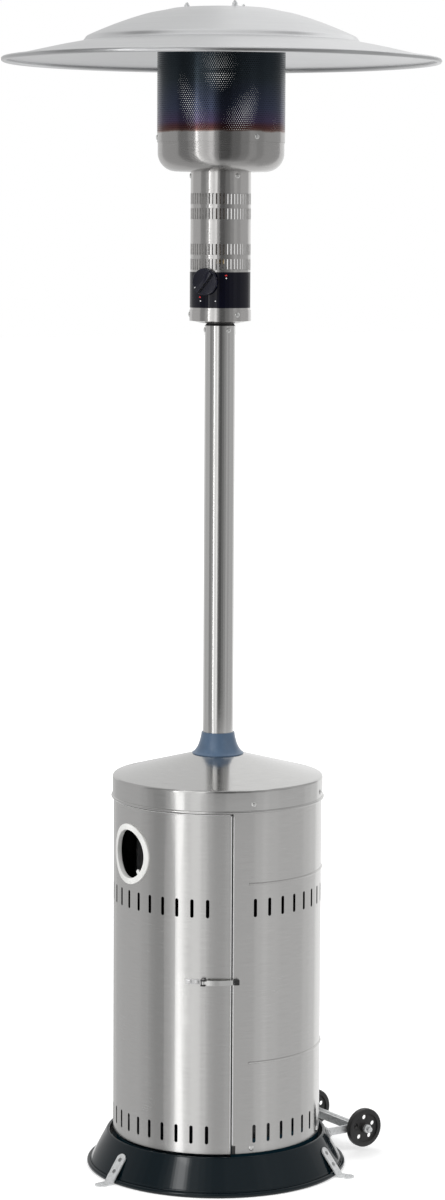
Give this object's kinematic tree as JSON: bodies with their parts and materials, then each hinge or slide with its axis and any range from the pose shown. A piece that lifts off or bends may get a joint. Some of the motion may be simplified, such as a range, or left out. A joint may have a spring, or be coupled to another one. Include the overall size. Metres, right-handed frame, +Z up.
{
  "type": "patio heater",
  "caption": "Free-standing gas patio heater: round cabinet with hinged door, tall pole, slotted burner head with glow screen and a wide stepped reflector.",
  "frame": {"origin": "on the ground under the pole's axis, at the middle of the foot", "axes": "+Z up along the pole, -Y out through the middle of the door, +Y towards the wheels"},
  "size_m": [0.813, 0.813, 2.1916],
  "materials": {
    "foot_enamel": "gloss black enamel",
    "floor_enamel": "semi-gloss black enamel",
    "zinc_strap": "zinc-plated steel",
    "zinc_screw": "zinc-plated",
    "frame_steel": "galvanised",
    "lid_steel": "satin stainless",
    "bright_screw": "bright",
    "cabinet_steel": "brushed stainless",
    "bumper_rubber": "matt",
    "hinge_steel": "satin",
    "latch_black": "black",
    "ring_plastic": "white",
    "latch_steel": "bright nickel",
    "pole_steel": "polished stainless tube",
    "collar_blue": "gloss steel blue",
    "plug_black": "dark",
    "gas_brass": "machined",
    "pipe_copper": "drawn",
    "head_steel": "polished stainless",
    "label_black": "gloss black",
    "valve_cast": "die cast",
    "knob_black": "black",
    "burner_steel": "heat-tinted",
    "ceramic_white": "glazed",
    "switch_black": "moulded",
    "bowl_steel": "polished stainless",
    "screen_steel": "heat-tinted perforated stainless",
    "reflector_aluminium": "satin",
    "galvanised": "hot-dip galvanised",
    "wheel_plastic": "moulded black"
  },
  "bodies": {
    "stand": {"base_shell": "foot_enamel", "base_floor": "floor_enamel", "anchor_brackets": "zinc_strap", "foot_screws": "zinc_screw", "post_left": "frame_steel", "post_right": "frame_steel", "post_back": "frame_steel", "frame_bolts": "zinc_screw", "pole_socket": "frame_steel", "cap": "lid_steel", "cap_screws": "bright_screw", "fixed_panel": "cabinet_steel", "panel_screws": "bright_screw", "door_bumper": "bumper_rubber", "hinge_frame_leaves": "hinge_steel", "hinge_pins": "hinge_steel", "latch_keeper": "latch_black", "pole": "pole_steel", "pole_collar": "collar_blue", "pole_plug": "plug_black", "pole_screws": "bright_screw", "gas_inlet": "gas_brass", "gas_pipe": "pipe_copper", "head_band": "head_steel", "head_nut": "gas_brass", "band_screws": "bright_screw", "head_housing": "head_steel", "housing_screws": "bright_screw", "control_label": "label_black", "gas_valve": "valve_cast", "valve_nut": "zinc_screw", "gas_injector": "gas_brass", "burner_plate": "burner_steel", "burner_tube": "burner_steel", "burner_head": "burner_steel", "pilot_burner": "gas_brass", "thermocouple": "pipe_copper", "spark_electrode": "ceramic_white", "tilt_switch": "switch_black", "burner_bowl": "bowl_steel", "bowl_screws": "bright_screw", "glow_screen": "screen_steel", "screen_top": "bowl_steel", "reflector_studs": "zinc_screw", "reflector": "reflector_aluminium", "wing_nuts": "zinc_screw", "wheel_bracket": "galvanised", "wheel_axle": "zinc_screw"},
    "door": {"door_panel": "cabinet_steel", "window_ring": "ring_plastic", "hinge_door_leaves": "hinge_steel", "latch_plate": "latch_steel", "latch_block": "latch_black", "latch_pin": "latch_steel"},
    "latch": {"latch_lever": "latch_steel"},
    "valve_rotor": {"valve_plug": "gas_brass"},
    "knob": {"control_knob": "knob_black", "knob_spindle": "zinc_screw"},
    "left_wheel": {"wheel_left": "wheel_plastic"},
    "right_wheel": {"wheel_right": "wheel_plastic"}
  },
  "joints": [
    {"name": "door_hinge", "type": "hinge", "parent": "stand", "child": "door", "pos_m": [-0.18125, -0.08607, 0.39], "axis": [0, 0, -1], "range_deg": [0, 120]},
    {"name": "latch_pivot", "type": "hinge", "parent": "door", "child": "latch", "pos_m": [0.15496, -0.13329, 0.396], "axis": [0, 0, -1], "range_deg": [0, 100]},
    {"name": "knob_turn", "type": "hinge", "parent": "stand", "child": "valve_rotor", "pos_m": [0, 0, 1.68001], "axis": [0.5, -0.866, 0], "range_deg": [0, 210]},
    {"name": "knob_push", "type": "slide", "parent": "valve_rotor", "child": "knob", "axis": [-0.5, 0.866, 0], "range_m": [0, 0.004], "stiffness_N_per_m": 1500, "springref_m": -0.002},
    {"name": "left_wheel_spin", "type": "hinge", "parent": "stand", "child": "left_wheel", "pos_m": [-0.086, 0.288, 0.043], "axis": [1, 0, 0], "continuous": true},
    {"name": "right_wheel_spin", "type": "hinge", "parent": "stand", "child": "right_wheel", "pos_m": [0.086, 0.288, 0.043], "axis": [1, 0, 0], "continuous": true}
  ]
}
